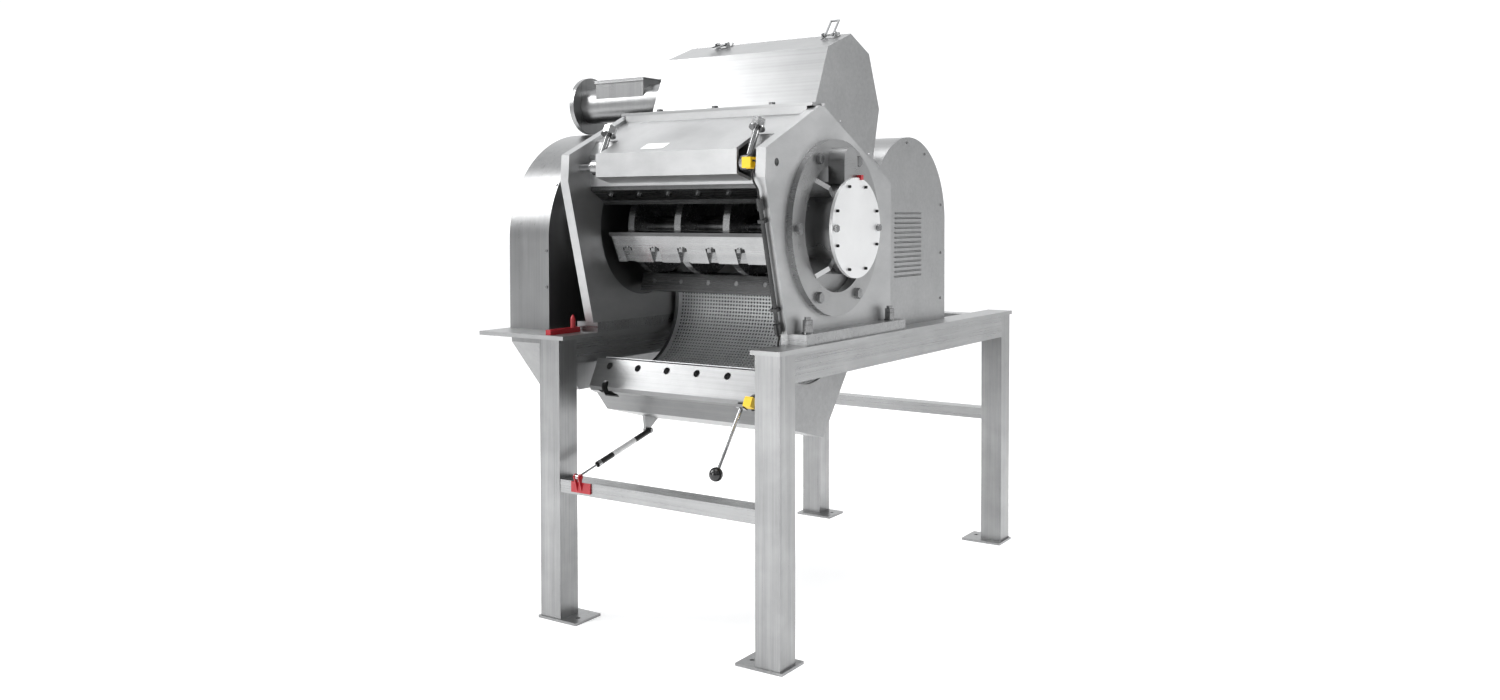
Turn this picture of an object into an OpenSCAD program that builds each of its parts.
/* [Stand] */
// Width of the stand over its legs
stand_w = 1090; // [990:10:1300]
// Depth of the stand over its legs
stand_d = 2070; // [1900:10:2400]
// Height of the stand under its top plates
stand_h = 1080; // [900:10:1300]
// Side of the square leg tube
leg_w = 100; // [80:5:110]
// Wall of the leg tube
leg_t = 5; // [3:1:8]
// Thickness of the top plates
plate_t = 16; // [10:1:25]
// Height of the cross bars
cross_h = 50; // [40:5:80]
// Radius of an anchor hole in a foot
anchor_r = 9; // [6:0.5:12]

/* [Housing] */
// Clear width between the two end walls
wall_gap = 850; // [800:10:900]
// Thickness of an end wall
wall_t = 40; // [30:1:50]
// Height of the base bar under an end wall
bar_h = 40; // [30:5:60]
// Height of the rotor axis over the foot of the walls
axis_rise = 372; // [350:2:420]
// Radius of the chamber recess in the end walls
chamber_r = 276; // [270:1:282]
// Radius of the bearing ring on the wall
ring_r = 328; // [310:1:335]

/* [Rotor] */
// Radius to the tips of the rotor knives
rotor_r = 264; // [250:1:266]
// Length of the rotor bars
rotor_l = 790; // [700:10:800]
// Number of knife bars on the rotor
blades = 5; // [3:1:5]
// Radius of the rotor discs
disc_r = 190; // [170:1:200]
// Radius of the shaft in its bearings
shaft_r = 45; // [35:1:55]
// Radius of the large rotor pulley
rotor_pulley_r = 250; // [200:5:280]
// Radius of the small motor pulley
motor_pulley_r = 100; // [80:5:120]

/* [Cradle] */
// Inner radius of the perforated screen
screen_r = 282; // [280:1:286]
// Thickness of the screen
screen_t = 4; // [2:0.5:6]
// Angle that the cradle is swung down by
cradle_open = 63; // [50:1:66]
// Radius of the cradle's hinge pin
pin_r = 15; // [10:1:18]
// Length of the handle lever
lever_l = 255; // [180:5:300]
// Diameter of the ball knob
knob_d = 50; // [40:5:60]

/* [Covers and hopper] */
// Thickness of sheet metal shells
sheet_t = 3; // [2:0.5:5]
// Radius of the belt guard's arch
guard_r = 452; // [430:2:470]
// Width of the belt guard
guard_w = 215; // [190:5:240]
// Radius of the motor cover's arch
cover_r = 350; // [330:2:360]
// Height of the hopper's ridge over the rotor axis
hopper_rise = 750; // [700:5:850]
// Radius of the inlet tube
inlet_r = 75; // [60:1:85]

/* [Hidden] */
$fn = 64;

// Clearances
run_fit = 0.05;
seat_gap = 0.05;

// Levels and reference lines of the stand
top_z = stand_h + plate_t;
leg_x = stand_w / 2 - leg_w / 2;
leg_y = stand_d / 2 - leg_w / 2;
foot_t = 10;
foot_w = 190;
foot_d = 145;
anchor_x = stand_w / 2 - leg_w - 45;
shelf_w = 325;
shelf_y = stand_d / 2 - 415;
front_bar_z = 551;
rear_bar_z = 633;

// Rotor axis and the two end walls
wall_in = wall_gap / 2;
wall_out = wall_in + wall_t;
base_z = top_z + bar_h;
axis_y = -stand_d / 2 + 500;
axis_z = base_z + axis_rise;
recess_t = 8;
web_t = 18;
bar_w = 105;
stud_r = 12;
stud_y = [-235, 404];

// Wall outline as offsets from the rotor axis, along Y and Z
foot_front = -323;
foot_rear = 475;
kink = [-465, 177];
brow = [-457, 279];
peak_f = [-95, 447];
peak_r = [-63, 447];
tail = [478, 177];
edge_a = atan2(foot_front - kink[0], kink[1] + axis_rise);
roof_a = atan2(peak_f[1] - brow[1], peak_f[0] - brow[0]);
slope_a = atan2(peak_r[1] - tail[1], tail[0] - peak_r[0]);

// Front housing and the two bed knives
roof_t = 12;
roof_sink = 14;
strip_w = 644;
notch_x = 312;
knife_screw_x = [69.5, 208, 347];
spine_y = -337;
spine_t = 14;
knife_seat = 160;

// Bearing housings
ring_t = 24;
ring_in_r = 240;
cyl_r = 172;
cyl_end = wall_out + 91;
cover_t = 12;
cover_disc_r = 185;
cover_screw_r = 163;
bearing_r = 95;
bearing_w = 45;
ring_bolt_r = 290;

// Rotor
knife_t = 14;
knife_root = 192;
bolt_pitch = 133;
disc_x = [-342, -114, 114, 342];
disc_t = 30;
bar_sweep = 30;
first_bar = 184;
bolt_u = 224;
bolt_seat = 62;

// Belt drive, guard and motor
guard_right = -wall_out - 177;
guard_left = guard_right - guard_w;
pulley_x = guard_right - guard_w / 2;
pulley_w = 100;
guard_y = axis_y + 111;
guard_z = axis_z - 54;
hem_h = 61;
motor_y = axis_y + 720;
motor_rise = 250;
motor_z = base_z + motor_rise;
motor_r = 215;
motor_len = 700;
motor_right = 210;
motor_shaft_r = 32.5;
belt_t = 8;
rear_arch_r = 265;
cover_y = motor_y - 47;
cover_z = axis_z + 22;
cover_right = wall_in + 30;
cover_front = foot_rear + 8;

// Hopper, as offsets from the rotor axis
hop_left = -340;
hop_right = 422;
flange_t = 12;
hop_front = [42, hopper_rise - 68];
hop_ridge = [221, hopper_rise];
hop_hinge = [370, hopper_rise - 62];
hop_back = [457, hopper_rise - 274];
inlet_y = 105;
inlet_z = hopper_rise - 228;
tube_left = -808;
tube_flange_r = 122;
hatch_x0 = -717;
hatch_x1 = -450;
ridge_a = atan2(hop_ridge[1] - hop_front[1], hop_ridge[0] - hop_front[0]);
lid_a = atan2(hop_ridge[1] - hop_hinge[1], hop_hinge[0] - hop_ridge[0]);
lid_len = norm(hop_hinge - hop_ridge);
latch_x = [-152, 352];
knuckle_x = [-280, -40, 240];
hinge_lug_x = [knuckle_x[0] + 61, knuckle_x[1] + 61, knuckle_x[2] - 31];
bail_l = 75;
bail_hooked = -8.5;
bail_folded = 178;
bail_raised = 32;

// Swing bolts
swing_y = -390;
swing_z = 231;
swing_r = 14;
swing_x = 342;
swing_rest = 63;
eye_r = 30;
rod_r = 12;
nut_from = 139.5;

// Conduit of the safety switch
conduit_gap = 16;
cable_r = 3.5;

// Cradle, drawn shut and then swung down about its hinge
hinge_y = 205;
hinge_z = -218;
cradle_in = wall_in - 25;
end_t = 12;
flange_top = 104;
flange_h = 40;
flange_rear = -288;
flange_front = -415;
slot_w = 30;
ear_h = 12;
nut_room = 42;

// Gas strut from the front cross bar to the cradle
strut_x = -344;
strut_r = 11;
strut_rod_r = 4;
strut_pin_r = 5;
lug = [-461, -246];
pin_y = -stand_d / 2 - 10;
pin_z = front_bar_z + 21;
lug_open = swung(lug);
strut_a = atan2(pin_z - lug_open[1], pin_y - lug_open[0]);
strut_open = norm([pin_y - lug_open[0], pin_z - lug_open[1]]);
strut_body = 334;

// Place in the stand of a cradle point after the cradle has swung open
function swung(p) = [
    axis_y + hinge_y + cos(cradle_open) * (p[0] - hinge_y) - sin(cradle_open) * (p[1] - hinge_z),
    axis_z + hinge_z + sin(cradle_open) * (p[0] - hinge_y) + cos(cradle_open) * (p[1] - hinge_z)];

// Extrudes a Y-Z outline from x0 to x1
module along_x(x0, x1) {
    translate([x0, 0, 0]) rotate([90, 0, 90]) linear_extrude(x1 - x0) children();
}

// Round bar along X
module rod_x(p, r, x0, x1) {
    translate([x0, p[0], p[1]]) rotate([0, 90, 0]) cylinder(r=r, h=x1 - x0);
}

// Puts children at the rotor axis
module at_axis() {
    translate([0, axis_y, axis_z]) children();
}

// Draws a piece and its mirror image in X
module both_ends() {
    children();
    mirror([1, 0, 0]) children();
}

// Cradle pieces are drawn shut, from the rotor axis, and swung down to the open pose
module open_cradle() {
    at_axis() translate([0, hinge_y, hinge_z]) rotate([cradle_open, 0, 0])
        translate([0, -hinge_y, -hinge_z]) children();
}

// Frame on the front edge of a wall: Z runs up the edge, -Y points out of it
module on_edge() {
    translate([0, axis_y + foot_front, base_z]) rotate([edge_a, 0, 0]) children();
}

// Frame on the roof line of the walls: Y runs up the roof, Z out of it
module on_roof() {
    translate([0, axis_y + brow[0], axis_z + brow[1]]) rotate([roof_a, 0, 0]) children();
}

// Frame on the rear slope of the walls: Y runs down the slope, Z out of it
module on_slope() {
    translate([0, axis_y + peak_r[0], axis_z + peak_r[1]]) rotate([-slope_a, 0, 0]) children();
}

// Frame on the gas strut: X stays, Z runs from the cradle lug to the bracket pin
module on_strut() {
    translate([strut_x, lug_open[0], lug_open[1]]) rotate([strut_a - 90, 0, 0]) children();
}

// Hexagonal bolt head or nut, standing on Z = 0
module hex(af, h) {
    cylinder(r=af / sqrt(3), h=h, $fn=6);
}

// Hex bolt head along +X with its washer face at x = 0
module hex_x(af, h) {
    rotate([0, 90, 0]) hex(af, h);
}

// Square tube along Y with open ends
module tube_y(w, h, t, len) {
    difference() {
        translate([-w / 2, 0, 0]) cube([w, len, h]);
        translate([t - w / 2, -1, t]) cube([w - 2 * t, len + 2, h - 2 * t]);
    }
}

// ---- Stand ----

module stand_legs() {
    color("silver")
    for (sx = [-1, 1], sy = [-1, 1]) {
        difference() {
            translate([sx * leg_x - leg_w / 2, sy * leg_y - leg_w / 2, foot_t])
                cube([leg_w, leg_w, stand_h - foot_t]);
            translate([sx * leg_x - leg_w / 2 + leg_t, sy * leg_y - leg_w / 2 + leg_t, foot_t - 1])
                cube([leg_w - 2 * leg_t, leg_w - 2 * leg_t, stand_h - foot_t - leg_t + 1]);
        }
        difference() {
            translate([sx * (leg_x + leg_w / 2 + 10 - foot_w / 2) - foot_w / 2,
                    sy * (leg_y + leg_w / 2 + 5 - foot_d / 2) - foot_d / 2, 0])
                cube([foot_w, foot_d, foot_t]);
            translate([sx * anchor_x, sy * leg_y, -1]) cylinder(r=anchor_r, h=foot_t + 2);
        }
    }
}

module side_beams() {
    color("silver")
    for (sx = [-1, 1])
        translate([sx * leg_x, -leg_y + leg_w / 2, stand_h - leg_w])
            tube_y(leg_w, leg_w, leg_t, 2 * leg_y - leg_w);
}

module cross_bars() {
    len = 2 * leg_x - leg_w;
    color("silver") {
        translate([-len / 2, -leg_y - 48, front_bar_z - cross_h]) x_tube(len, 87, cross_h);
        translate([-len / 2, leg_y - 42, rear_bar_z - cross_h]) x_tube(len, 80, cross_h);
        translate([-len / 2, leg_y - 50, stand_h - leg_w]) x_tube(len, leg_w, leg_w);
    }
}

// Rectangular tube along X from the origin
module x_tube(len, d, h) {
    difference() {
        cube([len, d, h]);
        translate([-1, leg_t, leg_t]) cube([len + 2, d - 2 * leg_t, h - 2 * leg_t]);
    }
}

module top_plates() {
    color("gainsboro")
    difference() {
        union() {
            translate([wall_in, -stand_d / 2, stand_h])
                cube([stand_w / 2 - wall_in, stand_d + 30, plate_t]);
            translate([-stand_w / 2 - shelf_w, -stand_d / 2, stand_h])
                cube([stand_w / 2 + shelf_w - wall_in, stand_d / 2 + shelf_y, plate_t]);
            translate([-stand_w / 2, shelf_y, stand_h])
                cube([stand_w / 2 - wall_in, stand_d / 2 - shelf_y + 30, plate_t]);
        }
        translate([guard_left + 18, axis_y - 270, stand_h - 1])
            cube([guard_w - 36, 1060, plate_t + 2]);
        for (sx = [-1, 1], y = stud_y)
            translate([sx * (wall_out + 32), axis_y + y, stand_h - 1])
                cylinder(r=stud_r + 0.5, h=plate_t + 2);
        translate([wall_in + 15, axis_y + foot_front - 20, stand_h - 1]) cylinder(r=8, h=plate_t + 2);
    }
}

// ---- Mill housing ----

module base_bars() {
    color("gainsboro")
    both_ends()
    difference() {
        translate([wall_in, axis_y - 299, top_z]) cube([bar_w, 779, bar_h]);
        for (y = stud_y)
            translate([wall_out + 32, axis_y + y, top_z - 1]) cylinder(r=stud_r + 0.5, h=bar_h + 2);
    }
    color("gray")
    for (y = [-140, 140])
        translate([-wall_in - 15, motor_y + y - 30, top_z]) cube([2 * wall_in + 30, 60, bar_h]);
}

module base_studs() {
    color("lightgray")
    both_ends()
    for (y = stud_y)
        translate([wall_out + 32, axis_y + y, 0]) {
            translate([0, 0, stand_h]) cylinder(r=stud_r, h=plate_t + bar_h + 57);
            difference() {
                translate([0, 0, base_z]) {
                    cylinder(r=22, h=4);
                    translate([0, 0, 4]) hex(36, 26);
                    translate([0, 0, 31]) hex(36, 16);
                }
                translate([0, 0, base_z - 1]) cylinder(r=stud_r + seat_gap, h=60);
            }
        }
}

module wall_outline() {
    polygon([[foot_front, -axis_rise], kink, brow, peak_f, peak_r, tail, [foot_rear, -axis_rise]]);
}

// One end wall on the +X side, bored for the shaft, the bars and the bearing housing
module end_wall() {
    difference() {
        at_axis() along_x(wall_in, wall_out) wall_outline();
        at_axis() rod_x([0, 0], chamber_r, wall_in - 1, wall_in + recess_t);
        at_axis() rod_x([0, 0], 250, wall_in + web_t, wall_out + 1);
        at_axis() rod_x([0, 0], shaft_r + 6, wall_in - 1, wall_out + 1);
        at_axis() rod_x([swing_y, swing_z], swing_r + run_fit, wall_in - 1, wall_out + 1);
        at_axis() rod_x([hinge_y, hinge_z], pin_r + run_fit, wall_in - 1, wall_out + 1);
    }
}

module right_wall() {
    color("gainsboro") end_wall();
}

module left_wall() {
    color("gainsboro") mirror([1, 0, 0]) end_wall();
}

module rear_wall() {
    color("gainsboro")
    at_axis() along_x(-wall_in, wall_in) polygon([[foot_rear - 15, -axis_rise],
        [foot_rear - 3, -axis_rise], [foot_rear - 3, tail[1]], [foot_rear - 15, tail[1] + 6]]);
}

module front_housing() {
    roof_len = norm(peak_f - brow);
    color("gainsboro") {
        difference() {
            on_roof() translate([-wall_in, 31, -roof_sink - roof_t])
                cube([2 * wall_in, roof_len - 46, roof_t]);
            both_ends() on_roof() translate([notch_x, 20, -roof_sink - 60])
                cube([wall_in, 146, 80]);
        }
        at_axis() {
            along_x(-strip_w / 2, strip_w / 2)
                polygon([[-425, 281], [-425, 192], [-336, 170], [-336, 182], [-413, 201], [-413, 281]]);
            along_x(-notch_x, notch_x) translate([spine_y, knife_seat]) square([spine_t, 155]);
            both_ends() along_x(notch_x - 1, wall_in) polygon([[spine_y, knife_seat],
                [spine_y + spine_t, knife_seat], [spine_y + spine_t, 272], [-290, 322],
                [-290, 333], [-302, 333], [spine_y, 282]]);
            along_x(-wall_in, wall_in) translate([-120, 415]) square([57, 32]);
        }
    }
}

module front_bed_knife() {
    color("darkgray")
    difference() {
        at_axis() along_x(-wall_in + 3, wall_in - 3) polygon([[-255, 90], [-271, 106.5],
            [spine_y, 144], [spine_y, knife_seat], [spine_y + spine_t, knife_seat], [-247, 114]]);
        for (sx = [-1, 1], x = knife_screw_x)
            front_screw_at(sx * x) translate([0, 0, -40]) cylinder(r=8, h=60);
    }
}

// Frame on the underside of the front bed knife: Z points out of the face
module front_screw_at(x) {
    at_axis() translate([x, -305, 125.8]) rotate([150.4, 0, 0]) children();
}

module rear_knife_beam() {
    color("gainsboro")
    difference() {
        at_axis() along_x(-wall_in, wall_in)
            polygon([[300, -68], [460, -68], [460, -8], [295, -8]]);
        for (sx = [-1, 1], x = knife_screw_x)
            at_axis() translate([sx * x, 330, -40]) cylinder(r=8.2, h=60);
    }
}

module rear_bed_knife() {
    color("darkgray")
    difference() {
        at_axis() along_x(-wall_in + 3, wall_in - 3)
            polygon([[269, 8], [276, -8], [365, -8], [365, 8]]);
        for (sx = [-1, 1], x = knife_screw_x)
            at_axis() translate([sx * x, 330, -9]) cylinder(r=8.2, h=20);
    }
}

module bed_knife_screws() {
    color("dimgray")
    for (sx = [-1, 1], x = knife_screw_x) {
        front_screw_at(sx * x) {
            cylinder(r=11, h=9);
            translate([0, 0, -14]) cylinder(r=8 - seat_gap, h=14);
        }
        at_axis() translate([sx * x, 330, 8]) {
            cylinder(r=13, h=9);
            translate([0, 0, -40]) cylinder(r=8, h=40);
        }
    }
}

// ---- Bearings ----

module bearing_housing() {
    at_axis() {
        difference() {
            rod_x([0, 0], ring_r, wall_out, wall_out + ring_t);
            rod_x([0, 0], ring_in_r, wall_out - 1, wall_out + ring_t + 1);
            ring_bolts() rod_x([0, 0], 10, wall_out - 1, wall_out + ring_t + 1);
        }
        difference() {
            union() {
                rod_x([0, 0], cyl_r, wall_in + web_t, cyl_end);
                for (a = [45:90:315])
                    rotate([a, 0, 0]) along_x(wall_in + web_t, wall_out + ring_t + 45)
                        translate([cyl_r - 20, -11]) square([ring_in_r + 4 - cyl_r + 20, 22]);
            }
            rod_x([0, 0], shaft_r + 6, wall_in, cyl_end + 1);
            rod_x([0, 0], bearing_r + run_fit, cyl_end - 56, cyl_end + 1);
            for (a = [45:90:315])
                rotate([a, 0, 0]) translate([wall_out + ring_t + 45, ring_in_r + 6, 0])
                    rotate([0, 0, 45]) cube([60, 62, 30], center=true);
        }
    }
}

module ring_bolts() {
    for (a = [0:60:300])
        rotate([a, 0, 0]) translate([0, ring_bolt_r, 0]) children();
}

module bearing_housings() {
    color("silver") both_ends() bearing_housing();
}

module cover_holes() {
    for (a = [22.5:45:360])
        rotate([a, 0, 0]) translate([0, cover_screw_r, 0]) children();
}

module bearing_covers() {
    color("whitesmoke")
    at_axis() {
        difference() {
            rod_x([0, 0], cover_disc_r, cyl_end, cyl_end + cover_t);
            cover_holes() rod_x([0, 0], 5.5, cyl_end - 1, cyl_end + cover_t + 1);
        }
        mirror([1, 0, 0])
        difference() {
            rod_x([0, 0], cover_disc_r, cyl_end, cyl_end + cover_t);
            cover_holes() rod_x([0, 0], 5.5, cyl_end - 1, cyl_end + cover_t + 1);
            rod_x([0, 0], shaft_r + 2, cyl_end - 1, cyl_end + cover_t + 1);
        }
    }
}

module bearing_bolts() {
    color("lightgray")
    both_ends() at_axis() {
        ring_bolts() translate([wall_out + ring_t, 0, 0]) {
            hex_x(36, 15);
            rod_x([0, 0], 9.9, -ring_t, 0);
        }
        for (a = [0, 180])
            rotate([a, 0, 0]) translate([cyl_end + cover_t, cover_screw_r, 0]) hex_x(24, 12);
    }
}

module cover_screws() {
    color("dimgray")
    both_ends() at_axis() cover_holes()
    difference() {
        rod_x([0, 0], 5.5 - seat_gap, cyl_end, cyl_end + cover_t + 8);
        rod_x([0, 0], 3, cyl_end + cover_t + 2, cyl_end + cover_t + 9);
    }
}

module roller_bearings() {
    color("dimgray")
    both_ends() at_axis()
    difference() {
        rod_x([0, 0], bearing_r, cyl_end - 56, cyl_end - 56 + bearing_w);
        rod_x([0, 0], shaft_r + run_fit, cyl_end - 57, cyl_end);
    }
}

// ---- Belt drive ----

// Outline round two pulleys or arches: circles joined by their outer tangent lines
module round_two(y1, z1, r1, y2, z2, r2) {
    b = atan2(z2 - z1, y2 - y1);
    t = acos((r1 - r2) / norm([y2 - y1, z2 - z1]));
    translate([y1, z1]) circle(r=r1, $fn=120);
    translate([y2, z2]) circle(r=r2, $fn=120);
    polygon([[y1 + (r1 - 0.3) * cos(b + t), z1 + (r1 - 0.3) * sin(b + t)],
        [y2 + (r2 - 0.3) * cos(b + t), z2 + (r2 - 0.3) * sin(b + t)],
        [y2 + (r2 - 0.3) * cos(b - t), z2 + (r2 - 0.3) * sin(b - t)],
        [y1 + (r1 - 0.3) * cos(b - t), z1 + (r1 - 0.3) * sin(b - t)]]);
}

// Outline of the belt guard, shrunk by t
module guard_outline(t) {
    top = guard_r - rear_arch_r;
    y2 = motor_y + 10;
    a = acos(top / (y2 - guard_y));
    difference() {
        union() {
            translate([guard_y, guard_z]) circle(r=guard_r - t, $fn=160);
            translate([y2, guard_z]) circle(r=rear_arch_r - t, $fn=120);
            polygon([[guard_y - guard_r + t + 0.4, guard_z], [guard_y - guard_r + t + 0.4, top_z],
                [y2 + rear_arch_r - t - 0.4, top_z], [y2 + rear_arch_r - t - 0.4, guard_z],
                [y2 + (rear_arch_r - t - 0.3) * cos(a), guard_z + (rear_arch_r - t - 0.3) * sin(a)],
                [guard_y + (guard_r - t - 0.3) * cos(a), guard_z + (guard_r - t - 0.3) * sin(a)]]);
        }
        translate([guard_y - 1000, top_z - 1000]) square([3000, 1000]);
    }
}

module belt_guard() {
    color("silver")
    difference() {
        along_x(guard_left, guard_right) guard_outline(0);
        along_x(guard_left + sheet_t, guard_right - sheet_t)
            union() {
                guard_outline(sheet_t);
                translate([guard_y - guard_r + sheet_t + 0.4, top_z - 5])
                    square([motor_y + 10 + rear_arch_r - guard_y + guard_r - 2 * sheet_t - 0.8, 50]);
            }
        at_axis() rod_x([0, 0], shaft_r + 12, guard_right - 10, guard_right + 1);
        rod_x([motor_y, motor_z], motor_shaft_r + 12, guard_right - 10, guard_right + 1);
    }
}

// Outline of the pan under the shelf, shrunk by t
module pan_outline(t) {
    front = guard_y - guard_r + 8;
    rear = motor_y + rear_arch_r - 10;
    polygon([[front + t, stand_h], [front + t, stand_h - 40 + t / 2], [front + 169 + t / 2,
        stand_h - 243 + t], [rear - 170 - t / 2, stand_h - 243 + t],
        [rear - t, stand_h - 40 + t / 2], [rear - t, stand_h]]);
}

module lower_guard() {
    color("silver")
    difference() {
        along_x(guard_left, guard_right) pan_outline(0);
        along_x(guard_left + sheet_t, guard_right - sheet_t) union() {
            pan_outline(sheet_t);
            translate([guard_y - guard_r + 8 + sheet_t, stand_h - 1])
                square([motor_y + rear_arch_r - 18 - guard_y + guard_r - 2 * sheet_t, 10]);
        }
    }
}

// Outline of the motor cover, shrunk by t; its front follows the rear of the mill
module cover_outline(t) {
    intersection() {
        union() {
            translate([cover_y, cover_z]) circle(r=cover_r - t, $fn=160);
            translate([cover_y - cover_r + t + 0.4, top_z - 5])
                square([2 * (cover_r - t) - 0.8, cover_z - top_z + 5]);
        }
        polygon([[axis_y + cover_front + t, top_z - (t > 0 ? 5 : 0)],
            [axis_y + cover_front + t, axis_z + tail[1] + 16 + t],
            [axis_y + cover_front - 82 + t, axis_z + tail[1] + 57 + t],
            [axis_y + cover_front - 82 + t, axis_z + 600],
            [axis_y + cover_front + 900, axis_z + 600],
            [axis_y + cover_front + 900, top_z - (t > 0 ? 5 : 0)]]);
    }
}

module motor_cover() {
    color("silver")
    difference() {
        along_x(guard_right, cover_right) cover_outline(0);
        along_x(guard_right - 1, cover_right - sheet_t) cover_outline(sheet_t);
        translate([cover_right - 10, axis_y + 500, axis_z - 235]) cube([20, 292, 333]);
    }
}

module louver_panel() {
    color("gainsboro")
    difference() {
        translate([cover_right, axis_y + 490, axis_z - 245]) cube([sheet_t, 312, 353]);
        for (i = [0:13])
            translate([cover_right - 1, axis_y + 526, axis_z - 209 + 20 * i])
                cube([sheet_t + 2, 251, 7]);
    }
}

module shell_screws() {
    color("lightgray") {
        for (a = [30, 75, 120])
            translate([guard_right - 12, guard_y - (guard_r + 0.02) * cos(a),
                    guard_z + (guard_r + 0.02) * sin(a)])
                rotate([90 - a, 0, 0]) cylinder(r=6, h=4);
        for (z = [-40, -185])
            translate([guard_right - 12, guard_y - guard_r + 0.4, guard_z + z])
                rotate([90, 0, 0]) cylinder(r=6, h=4);
        for (p = [[-30, 325], [140, 285], [305, 70], [305, -140], [305, -340]])
            translate([cover_right, cover_y + p[0], cover_z + p[1]])
                rotate([0, 90, 0]) cylinder(r=6, h=4);
    }
}

module motor_body() {
    color("dimgray")
    difference() {
        union() {
            rod_x([motor_y, motor_z], motor_r, motor_right - motor_len, motor_right);
            for (x = [-430, 60])
                translate([x, motor_y - 165, base_z]) cube([70, 330, motor_rise - motor_r + 60]);
        }
        rod_x([motor_y, motor_z], motor_shaft_r + run_fit, motor_right - motor_len - 1, motor_right - 60);
    }
}

module motor_shaft() {
    color("silver")
    rod_x([motor_y, motor_z], motor_shaft_r, pulley_x - pulley_w / 2 - 15, motor_right - 70);
}

// V-belt pulley with its axis along X
module pulley(r, bore) {
    n = 4;
    p = pulley_w / n;
    rotate([0, 90, 0]) rotate_extrude()
        polygon([[bore, 0], [r, 0], for (i = [0:n - 1], q = [[2, r], [7, r - 14], [18, r - 14],
            [23, r]]) [q[1], i * p + q[0]], [r, pulley_w], [bore, pulley_w]]);
}

module motor_pulley() {
    color("gray")
    translate([pulley_x - pulley_w / 2, motor_y, motor_z])
        pulley(motor_pulley_r, motor_shaft_r + seat_gap);
}

module rotor_pulley() {
    color("gray")
    at_axis() translate([pulley_x - pulley_w / 2, 0, 0]) pulley(rotor_pulley_r, shaft_r + seat_gap);
}

module drive_belts() {
    color([0.1, 0.1, 0.1])
    difference() {
        along_x(pulley_x - pulley_w / 2 + 3, pulley_x + pulley_w / 2 - 3)
            round_two(axis_y, axis_z, rotor_pulley_r + 1 + belt_t, motor_y, motor_z,
                motor_pulley_r + 1 + belt_t);
        along_x(pulley_x - pulley_w / 2, pulley_x + pulley_w / 2)
            round_two(axis_y, axis_z, rotor_pulley_r + 1, motor_y, motor_z, motor_pulley_r + 1);
    }
}

// ---- Hopper and inlet ----

// Hopper outline from the rotor axis, shrunk by t and open to the flange below
module hopper_outline(t) {
    d = t > 0 ? 20 : 0;
    polygon([[peak_r[0] + 8 + 1.1 * t, peak_r[1] + 9.8 - d], [hop_front[0] + t * 0.8, hop_front[1] - t],
        [hop_ridge[0], hop_ridge[1] - 1.1 * t], [hop_hinge[0] - 0.7 * t, hop_hinge[1] - 1.1 * t],
        [hop_back[0] - 1.2 * t, hop_back[1]], [tail[0] - 84 - 1.1 * t, tail[1] + 55.3 - d]]);
}

module hopper_body() {
    slope_len = norm(tail - peak_r);
    color("gainsboro")
    difference() {
        union() {
            difference() {
                at_axis() along_x(hop_left, hop_right) hopper_outline(0);
                at_axis() along_x(hop_left + sheet_t, hop_right - sheet_t) hopper_outline(sheet_t);
            }
            difference() {
                union() {
                    on_slope() translate([-wall_out, 0, 0])
                        cube([2 * wall_out, slope_len - 6, flange_t]);
                    at_axis() translate([-wall_out + 17, -120, peak_r[1]])
                        cube([2 * wall_out - 34, 62, flange_t]);
                }
                on_slope() translate([hop_left + 20, 40, -30]) cube([hop_right - hop_left - 40, 440, 60]);
            }
        }
        at_axis() along_x(hop_left + 30, hop_right - 30) polygon([hop_ridge + [14, -30], hop_ridge + [14, 60],
                hop_hinge + [-14, 60], hop_hinge + [-14, -30]]);
        at_axis() rod_x([inlet_y, inlet_z], inlet_r - sheet_t, hop_left - 1, hop_left + 10);
        hopper_bolt_places() translate([0, 0, -30]) cylinder(r=8.2, h=60);
    }
    color("gainsboro")
    on_lid() {
        translate([knuckle_x[0] - 4, lid_len + 1, 7]) rotate([0, 90, 0])
            cylinder(r=3, h=knuckle_x[2] - knuckle_x[0] + 68);
        for (x = hinge_lug_x)
            translate([x, lid_len - 4, -4]) cube([30, 9, 15]);
    }
}

// Bolt places on the hopper flange, Z pointing out of the flange face
module hopper_bolt_places() {
    for (x = [-267, 0, 261])
        at_axis() translate([x, -98, peak_r[1] + flange_t]) children();
    for (sx = [-1, 1], y = [145, 400])
        on_slope() translate([sx * (wall_in + 20), y, flange_t]) children();
}

module hopper_bolts() {
    color("lightgray")
    hopper_bolt_places() {
        hex(24, 10);
        translate([0, 0, -flange_t]) cylinder(r=8, h=flange_t);
    }
}

// Frame on the lid panel: Y from the ridge to the hinge, Z out of the panel
module on_lid() {
    at_axis() translate([0, hop_ridge[0], hop_ridge[1]]) rotate([-lid_a, 0, 0]) children();
}

module hopper_lid() {
    color("gainsboro")
    on_lid() {
        difference() {
            translate([hop_left + 4, 3, 1]) cube([hop_right - hop_left - 8, lid_len - 4, sheet_t]);
            for (x = hinge_lug_x)
                translate([x - 1.5, lid_len - 13, 0]) cube([33, 20, sheet_t + 2]);
        }
        for (x = knuckle_x)
            difference() {
                union() {
                    translate([x, lid_len + 1, 7]) rotate([0, 90, 0]) cylinder(r=6, h=60);
                    translate([x, lid_len - 8, 1]) cube([60, 7, sheet_t + 3]);
                }
                translate([x - 1, lid_len + 1, 7]) rotate([0, 90, 0])
                    cylinder(r=3 + run_fit, h=62);
            }
        for (x = latch_x)
            translate([x - 11, 5, sheet_t]) cube([22, 9, 14]);
    }
}

// Frame of a lid latch: Y runs up the front panel of the hopper to the ridge
module at_latch(x) {
    at_axis() translate([x, hop_ridge[0], hop_ridge[1]]) rotate([ridge_a, 0, 0]) children();
}

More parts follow.
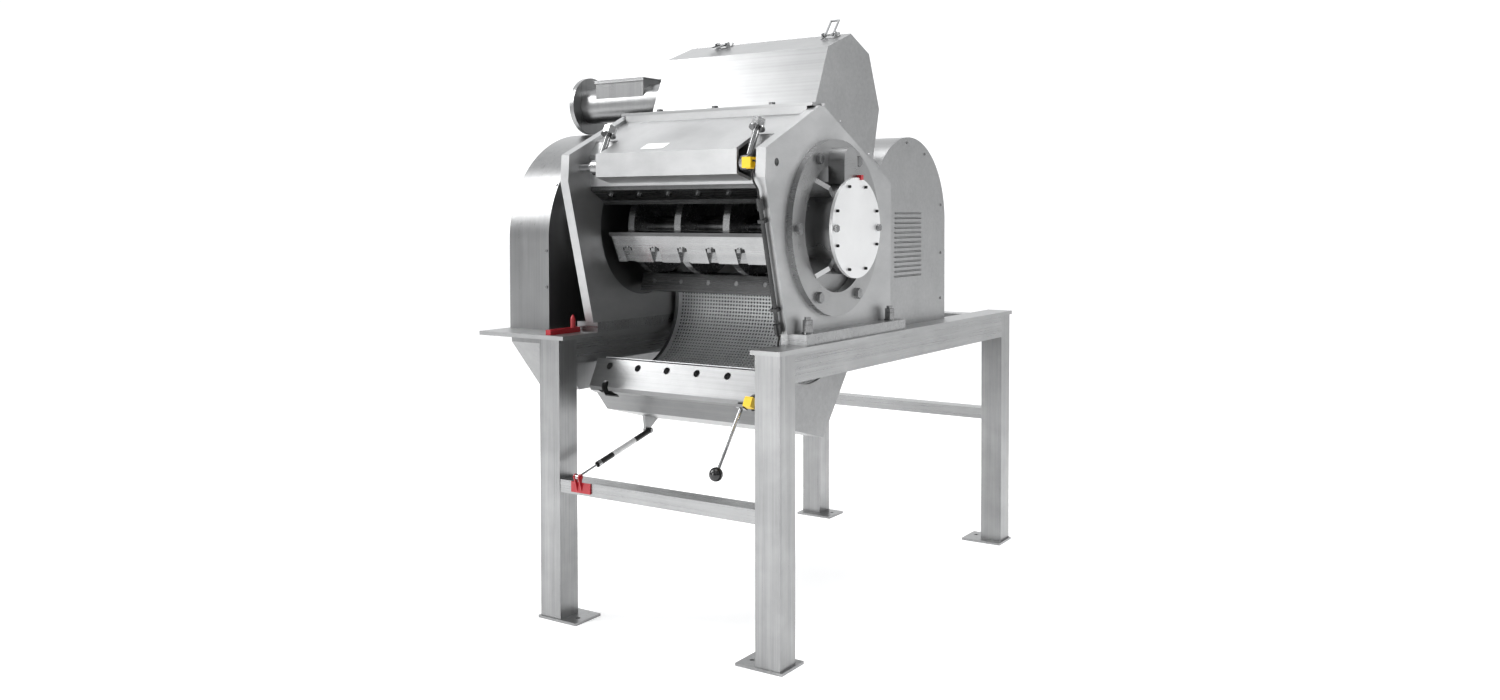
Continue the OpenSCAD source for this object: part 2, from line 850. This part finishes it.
module lid_latches() {
    color("silver")
    for (x = latch_x)
        at_latch(x) {
            translate([-32, -62, 0]) cube([64, 46, 4]);
            for (sx = [-1, 1])
                translate([sx * 27 - 3, -56, 2]) cube([6, 20, 20]);
            translate([-26, -46, 14]) rotate([0, 90, 0]) cylinder(r=4, h=52);
        }
}

// Wire bail with its eyes on the latch pin, reaching along +Y
module bail() {
    for (sx = [-1, 1])
        difference() {
            union() {
                translate([sx * 17 - 3, 0, 0]) rotate([0, 90, 0]) cylinder(r=8, h=6);
                translate([sx * 17 - 3, 0, -3]) cube([6, bail_l + 3, 6]);
            }
            translate([sx * 17 - 4, 0, 0]) rotate([0, 90, 0]) cylinder(r=4 + run_fit, h=8);
        }
    translate([-15, bail_l - 3, -3]) cube([30, 6, 6]);
}

module left_bail() {
    color("silver") at_latch(latch_x[0]) translate([0, -46, 14]) rotate([bail_folded, 0, 0]) bail();
}

module right_bail() {
    color("silver") at_latch(latch_x[1]) translate([0, -46, 14]) rotate([bail_raised, 0, 0]) bail();
}

module inlet_tube() {
    collar = [hatch_x0 + 5, hatch_x1 - 5];
    color("gainsboro")
    at_axis() difference() {
        union() {
            rod_x([inlet_y, inlet_z], inlet_r, tube_left + 12, hop_left);
            rod_x([inlet_y, inlet_z], tube_flange_r, tube_left, tube_left + 12);
            translate([collar[0], inlet_y - 72, inlet_z]) cube([collar[1] - collar[0], 144, 95]);
        }
        rod_x([inlet_y, inlet_z], inlet_r - sheet_t, tube_left - 1, hop_left + 1);
        translate([collar[0] + sheet_t, inlet_y - 72 + sheet_t, inlet_z + 20])
            cube([collar[1] - collar[0] - 2 * sheet_t, 144 - 2 * sheet_t, 95]);
        for (a = [45:90:315])
            translate([0, inlet_y, inlet_z]) rotate([a, 0, 0])
                rod_x([98, 0], 6, tube_left - 1, tube_left + 13);
    }
    color("gainsboro")
    at_axis() {
        rod_x([inlet_y + 82, inlet_z + 99], 4 - run_fit, hatch_x0 + 24, hatch_x1 - 24);
        translate([(hatch_x0 + hatch_x1) / 2 - 25, inlet_y + 70, inlet_z + 83]) cube([50, 20, 11]);
        translate([(hatch_x0 + hatch_x1) / 2 - 25, inlet_y + 76, inlet_z + 83]) cube([50, 14, 24]);
    }
}

module inlet_cover() {
    color("gainsboro")
    at_axis() {
        difference() {
            rod_x([inlet_y, inlet_z], tube_flange_r, tube_left - 10, tube_left);
            for (a = [45:90:315])
                translate([0, inlet_y, inlet_z]) rotate([a, 0, 0])
                    rod_x([98, 0], 6, tube_left - 11, tube_left + 1);
        }
        for (a = [45:90:315])
            translate([0, inlet_y, inlet_z]) rotate([a, 0, 0]) {
                rod_x([98, 0], 6 - seat_gap, tube_left - 10, tube_left + 12);
                translate([tube_left - 18, 98, 0]) hex_x(20, 8);
            }
        for (s = [-1, 1])
            rod_x([inlet_y + s * 45, inlet_z], 6, tube_left - 52, tube_left - 10);
        translate([tube_left - 52, inlet_y - 51, inlet_z]) rotate([-90, 0, 0]) cylinder(r=6, h=102);
    }
}

module inlet_hatch() {
    z = inlet_z + 95;
    color("gainsboro")
    at_axis() {
        difference() {
            translate([hatch_x0, inlet_y - 78, z + 0.3]) cube([hatch_x1 - hatch_x0, 152, 4]);
            translate([(hatch_x0 + hatch_x1) / 2 - 27, inlet_y + 66, z - 1]) cube([54, 20, 8]);
        }
        translate([hatch_x0, inlet_y - 78, z - 9]) cube([hatch_x1 - hatch_x0, 3, 12]);
        for (x = [hatch_x0 + 30, hatch_x1 - 70])
            difference() {
                union() {
                    translate([x, inlet_y + 82, z + 4]) rotate([0, 90, 0]) cylinder(r=8, h=40);
                    translate([x, inlet_y + 70, z + 0.3]) cube([40, 12, 4]);
                }
                translate([x - 1, inlet_y + 82, z + 4]) rotate([0, 90, 0]) cylinder(r=4, h=42);
            }
    }
}

// ---- Swing bolts, switch and cable ----

module swing_bar() {
    color("silver")
    at_axis() rod_x([swing_y, swing_z], swing_r, -wall_out + 12, wall_out - 12);
}

// Eye bolt with washer and nut, standing up along Z from the eye
module swing_bolt() {
    difference() {
        union() {
            rod_x([0, 0], eye_r, -15, 15);
            cylinder(r=rod_r, h=nut_from + 43);
        }
        rod_x([0, 0], swing_r + run_fit, -16, 16);
    }
    translate([0, 0, nut_from]) cylinder(r=30, h=5);
    translate([0, 0, nut_from + 5]) hex(46, 31);
}

module left_swing_bolt() {
    color("silver")
    at_axis() translate([-swing_x, swing_y, swing_z]) rotate([swing_rest - 90, 0, 0]) swing_bolt();
}

module right_swing_bolt() {
    color("silver")
    at_axis() translate([swing_x, swing_y, swing_z]) rotate([swing_rest - 90, 0, 0]) swing_bolt();
}

module safety_switch() {
    color("gold")
    at_axis() {
        translate([swing_x + 18, -450, 211]) cube([36, 28, 38]);
        translate([swing_x + 18, -422, 209]) cube([wall_in - swing_x - 18, 6, 40]);
    }
}

module switch_actuator() {
    color("gold")
    open_cradle() {
        translate([swing_x + 31, -450, 172]) cube([32, 28, 32]);
        translate([swing_x + 31, -422, 78]) cube([32, 422 + flange_front, 124]);
    }
}

module cable_conduit() {
    color("gray")
    on_edge() translate([wall_in + 15, -conduit_gap, 0])
    difference() {
        union() {
            translate([0, 0, 20]) cylinder(r=8, h=440);
            translate([0, 0, 455]) cylinder(r=13, h=42);
            translate([0, 0, 8]) cylinder(r=13, h=36);
            for (s = [90, 410])
                translate([-13, -11, s]) cube([26, 11 + conduit_gap, 12]);
        }
        cylinder(r=5.5, h=520);
    }
}

// Point in the stand of a place on the wall's front edge
function edge_point(x, y, s) = [x, axis_y + foot_front + y * cos(edge_a) - s * sin(edge_a),
    base_z + y * sin(edge_a) + s * cos(edge_a)];

cable_way = [
    [swing_x + 54, axis_y - 436, axis_z + 236],
    [swing_x + 66, axis_y - 437, axis_z + 234],
    [wall_in - 9, axis_y - 443, axis_z + 222],
    [wall_in - 8, axis_y - 455, axis_z + 204],
    [wall_in - 6, axis_y - 474, axis_z + 187],
    edge_point(wall_in + 5, -19, 555),
    edge_point(wall_in + 14, -conduit_gap, 530),
    edge_point(wall_in + 15, -conduit_gap, 510),
    edge_point(wall_in + 15, -conduit_gap, 480),
    edge_point(wall_in + 15, -conduit_gap, 250),
    edge_point(wall_in + 15, -conduit_gap, 20),
    edge_point(wall_in + 15, -conduit_gap, -5),
    [wall_in + 15, axis_y + foot_front - 19, top_z + 12],
    [wall_in + 15, axis_y + foot_front - 20, top_z - 8]];

// Smooth way through the cable points, four steps to a span
function bend(p, i, t) =
    let (a = p[max(i - 1, 0)], b = p[i], c = p[i + 1], d = p[min(i + 2, len(p) - 1)])
    0.5 * (2 * b + (c - a) * t + (2 * a - 5 * b + 4 * c - d) * t * t
        + (3 * b - a - 3 * c + d) * t * t * t);
cable_line = concat([for (i = [0:len(cable_way) - 2], k = [0:3]) bend(cable_way, i, k / 4)],
    [cable_way[len(cable_way) - 1]]);

module switch_cable() {
    n = 8;
    m = len(cable_line);
    rings = [for (i = [0:m - 1])
        let (t = cable_line[min(i + 1, m - 1)] - cable_line[max(i - 1, 0)],
            u = cross(t, [0, 1, 0]) / norm(cross(t, [0, 1, 0])),
            v = cross(t, u) / norm(cross(t, u)))
        [for (k = [0:n - 1]) cable_line[i] + cable_r * (u * cos(360 * k / n) + v * sin(360 * k / n))]];
    points = [for (r = rings, p = r) p];
    sides = [for (i = [0:m - 2], k = [0:n - 1])
        [i * n + k, i * n + (k + 1) % n, (i + 1) * n + (k + 1) % n, (i + 1) * n + k]];
    color([0.1, 0.1, 0.1])
    polyhedron(points, concat([[for (k = [n - 1:-1:0]) k]], sides,
        [[for (k = [0:n - 1]) (m - 1) * n + k]]), convexity=6);
}

module transport_lock() {
    color("red") {
        translate([-wall_out - 60, axis_y - 487, top_z]) cube([25, 172, 20]);
        translate([-wall_out - 47.5, axis_y - 345, top_z + 20]) cylinder(r=10, h=34);
        translate([-wall_out - 47.5, axis_y - 345, top_z + 54]) cylinder(r1=10, r2=3, h=15);
    }
}

// ---- Rotor ----

module rotor_shaft() {
    color("silver")
    at_axis() rod_x([0, 0], shaft_r, pulley_x - pulley_w / 2 - 12, cyl_end - 11);
}

module rotor_discs() {
    color("gray")
    for (x = disc_x)
        at_axis() difference() {
            rod_x([0, 0], disc_r, x - disc_t / 2, x + disc_t / 2);
            rod_x([0, 0], shaft_r + seat_gap, x - disc_t, x + disc_t);
        }
}

// Places of the knife bars: Y points out to the tip, Z back along the bar
module at_bars() {
    for (i = [0:blades - 1])
        at_axis() rotate([first_bar + 360 / blades * i, 0, 0]) children();
}

module at_bolts() {
    for (i = [-2.5:2.5])
        translate([bolt_pitch * i, bolt_u, 0]) children();
}

module rotor_bars() {
    outer = rotor_r - 22;
    inner = disc_r - 10;
    color("silver")
    at_bars() difference() {
        along_x(-rotor_l / 2, rotor_l / 2) polygon([[inner, knife_t], [rotor_r - 14, knife_t],
            [outer * cos(bar_sweep), outer * sin(bar_sweep)],
            [inner * cos(bar_sweep), inner * sin(bar_sweep)]]);
        rod_x([0, 0], disc_r + seat_gap, -rotor_l, rotor_l);
        at_bolts() {
            translate([-22, -20, bolt_seat]) cube([44, 100, 100]);
            cylinder(r=10 + seat_gap, h=bolt_seat + 1);
        }
    }
}

module rotor_knives() {
    color("darkgray")
    at_bars() difference() {
        translate([-rotor_l / 2, knife_root, 0]) cube([rotor_l, rotor_r - knife_root, knife_t]);
        at_bolts() translate([0, 0, -1]) cylinder(r=10 + seat_gap, h=knife_t + 2);
    }
}

module rotor_bolts() {
    color("lightgray")
    at_bars() at_bolts() {
        translate([0, 0, 2]) cylinder(r=10, h=bolt_seat - 2);
        translate([0, 0, bolt_seat]) hex(30, 14);
    }
}

// ---- Cradle ----

module hinge_pin() {
    color("silver")
    at_axis() rod_x([hinge_y, hinge_z], pin_r, -wall_out + 5, wall_out - 5);
}

module screen() {
    color("silver")
    open_cradle() intersection() {
        difference() {
            rod_x([0, 0], screen_r + screen_t, -cradle_in, cradle_in);
            rod_x([0, 0], screen_r, -cradle_in - 1, cradle_in + 1);
        }
        along_x(-cradle_in, cradle_in) polygon([[0, 0], [-600, 172], [-600, -600], [200, -600],
            [436, -600]]);
    }
}

module cradle_trough() {
    color("gainsboro")
    open_cradle() {
        both_ends() along_x(cradle_in, cradle_in + end_t) difference() {
            union() {
                polygon([[-277, 64], [-410, 64], [-450, -33], [-390, -316], [-105, -376],
                    [65, -411], [hinge_y + 30, hinge_z - 28], [hinge_y, hinge_z + 38]]);
                translate([hinge_y, hinge_z]) circle(r=38);
            }
            circle(r=chamber_r, $fn=160);
            translate([hinge_y, hinge_z]) circle(r=pin_r + run_fit);
        }
        difference() {
            union() {
                along_x(-cradle_in - 1, cradle_in + 1) polygon([[-410, 64], [-450, -33],
                    [-390, -316], [-105, -376], [65, -411], [174, -238], [166, -243],
                    [60, -403.5], [-105, -370], [-385, -311], [-443.8, -32.5], [-404, 64]]);
                translate([127, -233, -440]) cube([206, 256, 92]);
            }
            translate([130, -230, -450]) cube([200, 250, 120]);
            for (sx = [-1, 1])
                translate([sx * swing_x - 34, -470, nut_room]) cube([68, 120, 80]);
        }
        strut_ear();
    }
}

// Ear and stud on the front of the cradle that carry the gas strut
module strut_ear() {
    along_x(strut_x - 24, strut_x - 12) {
        polygon([[-412, -200], [-394, -290], [lug[0] + 5, lug[1] - 10], [lug[0] + 2, lug[1] + 11]]);
        translate(lug) circle(r=14);
    }
    rod_x(lug, strut_pin_r, strut_x - 13, strut_x + 10);
    rod_x(lug, 8, strut_x + 7, strut_x + 11);
}

module cradle_flange() {
    w = cradle_in + 17;
    color("silver")
    open_cradle() difference() {
        along_x(-w, w) polygon([[flange_front + 12, flange_top], [flange_rear, flange_top],
            [flange_rear, flange_top - flange_h], [flange_front, flange_top - flange_h],
            [flange_front, flange_top - 14]]);
        for (sx = [-1, 1]) {
            for (x = knife_screw_x)
                translate([sx * x, -317, flange_top - 25]) cylinder(r=14, h=30);
            translate([sx * swing_x, swing_y, 0]) {
                cylinder(r=slot_w / 2, h=200);
                translate([-slot_w / 2, -60, 0]) cube([slot_w, 60, 200]);
                cylinder(r=34, h=flange_top - ear_h);
                translate([-34, -60, 0]) cube([68, 60, flange_top - ear_h]);
            }
        }
    }
}

module cradle_lever() {
    color("silver")
    open_cradle() {
        translate([274, flange_front - 12, flange_top - 36]) cube([32, 12, 32]);
        translate([290, flange_front - 10, flange_top - 18.3]) rotate([80, 0, 0]) cylinder(r=8, h=lever_l);
    }
}

module ball_knob() {
    color([0.1, 0.1, 0.1])
    open_cradle() translate([290, flange_front - 10, flange_top - 18.3]) rotate([80, 0, 0])
    difference() {
        translate([0, 0, lever_l + 8]) sphere(d=knob_d);
        translate([0, 0, lever_l - 40]) cylinder(r=8 + seat_gap, h=40.1);
    }
}

// ---- Gas strut ----

module strut_bracket() {
    y = -stand_d / 2;
    color("red") {
        translate([strut_x - 40, y + 2 - 6, front_bar_z - 40]) cube([94, 6, 40]);
        for (x = [strut_x - 14, strut_x + 8])
            along_x(x, x + 6) difference() {
                union() {
                    polygon([[y - 4, front_bar_z - 36], [y - 4, front_bar_z],
                        [pin_y + 9, pin_z + 7], [pin_y - 12, pin_z]]);
                    translate([pin_y, pin_z]) circle(r=12);
                }
                translate([pin_y, pin_z]) circle(r=strut_pin_r);
            }
        for (x = [strut_x - 20, strut_x + 8])
            rod_x([pin_y, pin_z], strut_pin_r, x, x + 12);
    }
}

module strut_cylinder() {
    color([0.1, 0.1, 0.1])
    on_strut() difference() {
        union() {
            rod_x([0, 0], 11, -6, 6);
            translate([0, 0, 9.5]) cylinder(r=strut_r, h=strut_body - 9.5);
        }
        rod_x([0, 0], strut_pin_r + run_fit, -7, 7);
        translate([0, 0, 30]) cylinder(r=strut_r - 2, h=strut_body - 50);
        translate([0, 0, 30]) cylinder(r=strut_rod_r + run_fit, h=strut_body);
    }
}

module strut_rod() {
    color("silver")
    on_strut() {
        translate([0, 0, 40]) cylinder(r=strut_rod_r, h=strut_open - 46);
        translate([0, 0, 34]) cylinder(r=strut_r - 2.1, h=12);
        translate([0, 0, strut_open]) {
            rod_x([0, 0], 10, -6, 6);
            rod_x([0, 0], strut_pin_r - 0.1, -7.5, 7.5);
        }
    }
}

stand_legs();
side_beams();
cross_bars();
top_plates();
base_bars();
base_studs();
left_wall();
right_wall();
rear_wall();
front_housing();
front_bed_knife();
rear_knife_beam();
rear_bed_knife();
bed_knife_screws();
bearing_housings();
bearing_covers();
bearing_bolts();
cover_screws();
roller_bearings();
belt_guard();
lower_guard();
motor_cover();
louver_panel();
shell_screws();
motor_body();
motor_shaft();
motor_pulley();
drive_belts();
hopper_body();
hopper_bolts();
hopper_lid();
lid_latches();
left_bail();
right_bail();
inlet_tube();
inlet_cover();
inlet_hatch();
swing_bar();
left_swing_bolt();
right_swing_bolt();
safety_switch();
switch_actuator();
cable_conduit();
switch_cable();
transport_lock();
rotor_shaft();
rotor_discs();
rotor_bars();
rotor_knives();
rotor_bolts();
rotor_pulley();
cradle_trough();
cradle_flange();
screen();
hinge_pin();
cradle_lever();
ball_knob();
strut_bracket();
strut_cylinder();
strut_rod();
